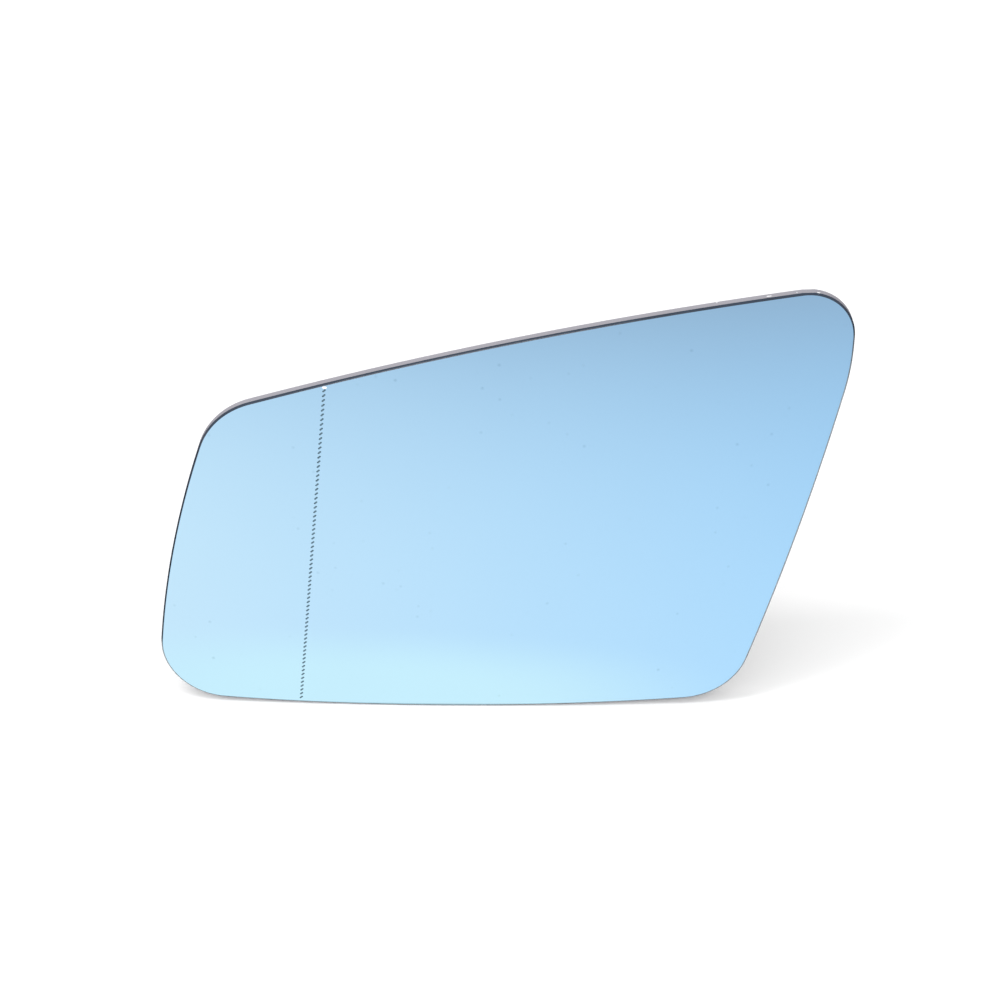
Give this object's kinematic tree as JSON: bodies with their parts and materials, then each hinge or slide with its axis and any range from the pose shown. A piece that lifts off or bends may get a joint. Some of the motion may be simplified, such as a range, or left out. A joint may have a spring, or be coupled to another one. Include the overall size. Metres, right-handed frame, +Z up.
{
  "type": "car door mirror glass",
  "caption": "Left-hand frameless convex blue door mirror glass with an aspheric outer zone, heater pad and a carrier plate with clip ring.",
  "frame": {"origin": "centre of the locating ring's bore, on the ring axis, halfway along its wall", "axes": "+X to the right and +Z up as seen from the front; +Y to the rear along the ring axis, out of the ring's mouth; the glass faces -Y"},
  "size_m": [0.1913, 0.0167, 0.1332],
  "materials": {
    "blue_mirror": "front-coated blue mirror, ground edge",
    "heater_foil": "self-adhesive foil",
    "black_plastic": "fine moulded grain",
    "tinned_brass": "tin plated"
  },
  "bodies": {
    "root": {"mirror_glass": "blue_mirror", "heater_pad": "heater_foil", "carrier_plate": "black_plastic", "terminal_left": "tinned_brass", "terminal_right": "tinned_brass"}
  },
  "joints": []
}
